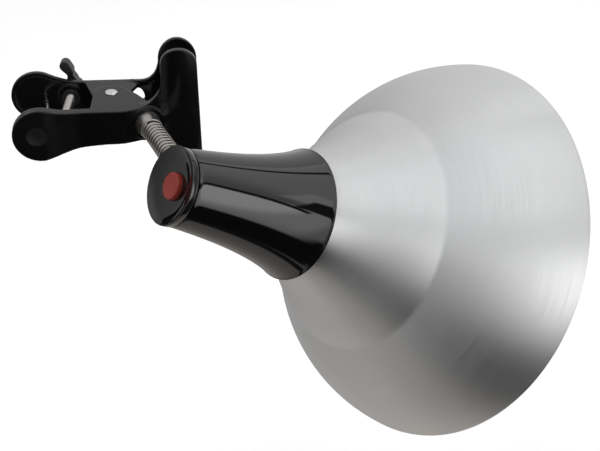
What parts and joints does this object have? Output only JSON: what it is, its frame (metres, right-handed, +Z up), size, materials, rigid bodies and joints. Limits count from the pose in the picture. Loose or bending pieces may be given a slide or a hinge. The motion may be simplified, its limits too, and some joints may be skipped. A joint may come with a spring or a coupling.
{
  "type": "clip on reading lamp",
  "caption": "Reading lamp that screw-clamps to a round pole: a short flexible neck carries a black trumpet housing and a spun aluminium shade with a push switch at its back.",
  "frame": {"origin": "on the axis of the clamped pole, half way up the clamp's jaws", "axes": "+Z up along the pole, +X from the clamp's hinge towards the pole; the neck and the lamp head are on the -Y side"},
  "size_m": [0.2989, 0.2103, 0.2201],
  "materials": {
    "clamp_black": "semi-gloss moulding",
    "pad_rubber": "matt",
    "rivet_steel": "bright, domed heads",
    "spring_steel": "drawn wire",
    "brass": "turned",
    "screw_steel": "cut thread",
    "knob_black": "semi-matt moulding",
    "neck_steel": "brushed round the ferrule",
    "coil_steel": "wound flat wire",
    "housing_black": "high gloss",
    "button_red": "satin",
    "holder_black": "matt moulding",
    "shade_aluminium": "spun and brushed, satin",
    "bulb_glass": "frosted white",
    "bulb_cap": "plain",
    "lead_brown": "insulation",
    "lead_blue": "insulation"
  },
  "bodies": {
    "near_arm": {"near_half": "clamp_black", "near_pad": "pad_rubber", "hinge_rivet": "rivet_steel", "hinge_spring": "spring_steel", "neck_stud": "screw_steel", "neck_nut": "brass", "cord_grommet": "pad_rubber", "neck_ferrule": "neck_steel"},
    "far_arm": {"far_half": "clamp_black", "far_pad": "pad_rubber", "stop_pin": "rivet_steel", "screw_bush": "knob_black"},
    "foot": {"screw_foot": "knob_black"},
    "wing_screw": {"clamp_screw": "screw_steel", "wing_knob": "knob_black"},
    "neck_1": {"neck_coil_1": "coil_steel"},
    "neck_2": {"neck_coil_2": "coil_steel"},
    "neck_3": {"neck_coil_3": "coil_steel"},
    "neck_4": {"neck_coil_4": "coil_steel"},
    "neck_5": {"neck_coil_5": "coil_steel"},
    "head": {"end_ferrule": "neck_steel", "end_nut": "brass", "housing": "housing_black", "end_cap": "housing_black", "button_spring": "spring_steel", "switch_body": "holder_black", "holder_body": "holder_black", "holder_screws": "screw_steel", "holder_thread": "brass", "holder_contact": "brass", "shade_ring": "holder_black", "shade": "shade_aluminium", "bulb_glass": "bulb_glass", "bulb_cap": "bulb_cap", "live_lead": "lead_brown", "neutral_lead": "lead_blue"},
    "button": {"switch_button": "button_red"}
  },
  "joints": [
    {"name": "jaw_open", "type": "hinge", "parent": "near_arm", "child": "far_arm", "pos_m": [-0.0368, 0.0034, 0], "axis": [0, 0, 1], "range_deg": [-3, 12]},
    {"name": "screw_advance", "type": "slide", "parent": "far_arm", "child": "foot", "axis": [-0.1219, -0.9925, 0], "range_m": [-0.0072, 0.0018]},
    {"name": "wing_turn", "type": "hinge", "parent": "foot", "child": "wing_screw", "pos_m": [-0.0586, 0.02699, 0], "axis": [-0.1219, -0.9925, 0], "range_deg": [-3210, 805]},
    {"name": "neck_bend_1", "type": "hinge", "parent": "near_arm", "child": "neck_1", "pos_m": [-0.0159, -0.02489, 0.0016], "axis": [-0.9613, -0.2756, 0], "range_deg": [-12, 12]},
    {"name": "neck_bend_2", "type": "hinge", "parent": "neck_1", "child": "neck_2", "pos_m": [-0.01381, -0.0322, 0.00149], "axis": [0.0076, -0.0264, 0.9996], "range_deg": [-12, 12]},
    {"name": "neck_bend_3", "type": "hinge", "parent": "neck_2", "child": "neck_3", "pos_m": [-0.0117, -0.0395, 0.0012], "axis": [-0.9601, -0.2796, 0], "range_deg": [-12, 12]},
    {"name": "neck_bend_4", "type": "hinge", "parent": "neck_3", "child": "neck_4", "pos_m": [-0.00955, -0.04678, 0.00079], "axis": [0.0173, -0.0574, 0.9982], "range_deg": [-12, 12]},
    {"name": "neck_bend_5", "type": "hinge", "parent": "neck_4", "child": "neck_5", "pos_m": [-0.00732, -0.05403, 0.00031], "axis": [-0.9535, -0.3014, 0], "range_deg": [-12, 12]},
    {"name": "neck_bend_6", "type": "hinge", "parent": "neck_5", "child": "head", "pos_m": [-0.00496, -0.06124, -0.00018], "axis": [0.0199, -0.0592, 0.998], "range_deg": [-12, 12]},
    {"name": "button_press", "type": "slide", "parent": "head", "child": "button", "axis": [0.8395, 0.3119, -0.4449], "range_m": [0, 0.002], "stiffness_N_per_m": 300, "springref_m": -0.003, "deforming": ["button_spring"]}
  ],
  "couplings": [
    {"joint": "screw_advance", "follows": "jaw_open", "m_per_rad": -0.034},
    {"joint": "wing_turn", "follows": "jaw_open", "ratio": -267.04}
  ]
}
